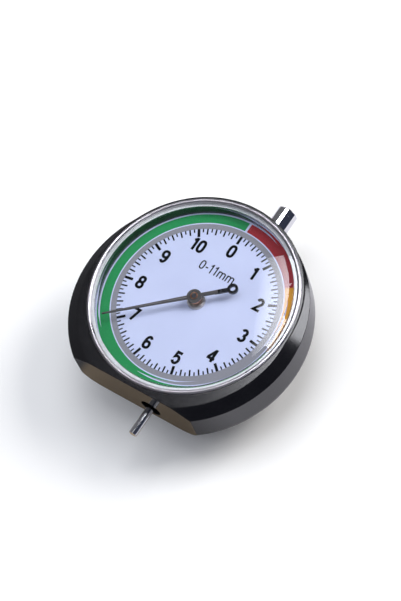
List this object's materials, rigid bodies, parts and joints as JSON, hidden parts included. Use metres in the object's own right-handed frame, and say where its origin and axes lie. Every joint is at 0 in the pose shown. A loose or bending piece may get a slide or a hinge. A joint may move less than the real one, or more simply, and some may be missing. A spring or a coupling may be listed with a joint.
{
  "type": "dial tread depth gauge",
  "caption": "Pocket dial gauge for tyre tread depth: round black case with a flat foot, sliding probe and plunger, and a needle geared to the probe over a coloured scale.",
  "frame": {"origin": "on the flat back, directly under the centre of the dial", "axes": "+Z out of the dial towards the reader, +Y to the dial's 12 o'clock and out along the plunger, +X to 3 o'clock"},
  "size_m": [0.0538, 0.0617, 0.023],
  "materials": {
    "black_plastic": "satin, fine moulded texture",
    "plated_ring": "satin nickel-chrome plate",
    "clear_plastic": "clear polished acrylic",
    "seal": "pale nylon-like seal",
    "dark_plastic": "gloss black moulding",
    "dial_print": "white lacquer with printed scale",
    "brass": "machined",
    "nickel": "nickel-plated, turned",
    "bronze": "rolled spring strip",
    "steel": "turned",
    "spring_steel": "blued strip",
    "pointer_paint": "dark grey lacquer",
    "black_paint": "gloss black lacquer",
    "chrome_plate": "bright chrome plate"
  },
  "bodies": {
    "case": {"housing": "black_plastic", "back_cover": "black_plastic", "cover_screws": "steel", "bezel_ring": "plated_ring", "crystal": "clear_plastic", "crystal_gasket": "seal", "spacer_ring": "dark_plastic", "dial_plate": "dial_print", "front_plate": "brass", "rear_plate": "brass", "plate_pillars": "brass", "plate_screws": "steel", "movement_screws": "steel", "front_bearing": "nickel", "rear_bearing": "brass", "friction_spring": "spring_steel", "hairspring": "bronze", "hairspring_stud": "brass"},
    "plunger": {"plunger_rod": "chrome_plate", "probe_pin": "chrome_plate", "stop_pin": "steel"},
    "pointer": {"arbor": "steel", "pinion": "brass", "hairspring_collet": "brass", "pointer_hub": "brass", "pointer": "pointer_paint", "pointer_counterweight": "black_paint"}
  },
  "joints": [
    {"name": "plunger_slide", "type": "slide", "parent": "case", "child": "plunger", "axis": [0, -1, 0], "range_m": [-0.00703, 0.00397]},
    {"name": "pointer_turn", "type": "hinge", "parent": "case", "child": "pointer", "pos_m": [0, 0, 0.0188], "axis": [0, 0, -1], "range_deg": [-231, 131]}
  ],
  "couplings": [
    {"joint": "pointer_turn", "follows": "plunger_slide", "rad_per_m": 571.2}
  ]
}
